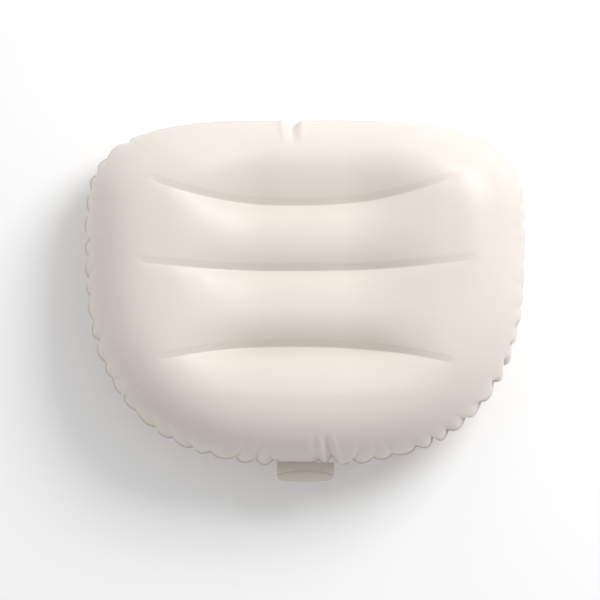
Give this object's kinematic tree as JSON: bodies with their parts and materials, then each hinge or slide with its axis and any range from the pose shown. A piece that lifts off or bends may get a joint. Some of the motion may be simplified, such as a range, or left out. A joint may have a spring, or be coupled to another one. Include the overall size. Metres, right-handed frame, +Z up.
{
  "type": "inflatable camp pillow",
  "caption": "Inflatable film pillow with a wide head edge, a narrower neck edge, cross creases over internal webs, a puckered seam, a two-ply tab and a flip-cap air valve underneath.",
  "frame": {"origin": "bottom centre of the inflated pillow's box, tab included, on the floor it rests on", "axes": "+Z up; +Y towards the wide head edge; +X to the right when looked at from above with the head edge away from the viewer"},
  "size_m": [0.4, 0.3288, 0.1135],
  "materials": {
    "upper_vinyl": "smooth satin film",
    "lower_vinyl": "smooth satin film",
    "web_vinyl": "smooth film, hidden inside",
    "tab_vinyl": "smooth satin film",
    "valve_tpu": "moulded soft plastic",
    "flap_silicone": "smooth silicone"
  },
  "bodies": {
    "pillow": {"upper_sheet": "upper_vinyl", "lower_sheet": "lower_vinyl", "head_web": "web_vinyl", "middle_web": "web_vinyl", "neck_web": "web_vinyl", "valve_base": "valve_tpu"},
    "tab": {"tab_upper_ply": "tab_vinyl", "tab_lower_ply": "tab_vinyl"},
    "plug": {"valve_plug": "valve_tpu"},
    "flap": {"check_flap": "flap_silicone"},
    "cap": {"valve_cap": "valve_tpu"}
  },
  "joints": [
    {"name": "tab_bend", "type": "hinge", "parent": "pillow", "child": "tab", "pos_m": [0, -0.1501, 0.05983], "axis": [1, 0, 0], "range_deg": [-60, 70], "stiffness_Nm_per_rad": 0.002},
    {"name": "plug_pull", "type": "slide", "parent": "pillow", "child": "plug", "axis": [0.2597, -0.7596, -0.5963], "range_m": [0, 0.012], "stiffness_N_per_m": 60},
    {"name": "cap_flip", "type": "hinge", "parent": "plug", "child": "cap", "pos_m": [0.10358, -0.12231, 0.02118], "axis": [0.2081, -0.5589, 0.8027], "range_deg": [0, 160], "stiffness_Nm_per_rad": 0.01},
    {"name": "flap_open", "type": "hinge", "parent": "plug", "child": "flap", "pos_m": [0.08372, -0.1208, 0.02738], "axis": [0.2081, -0.5589, 0.8027], "range_deg": [0, 35], "stiffness_Nm_per_rad": 0.001}
  ]
}
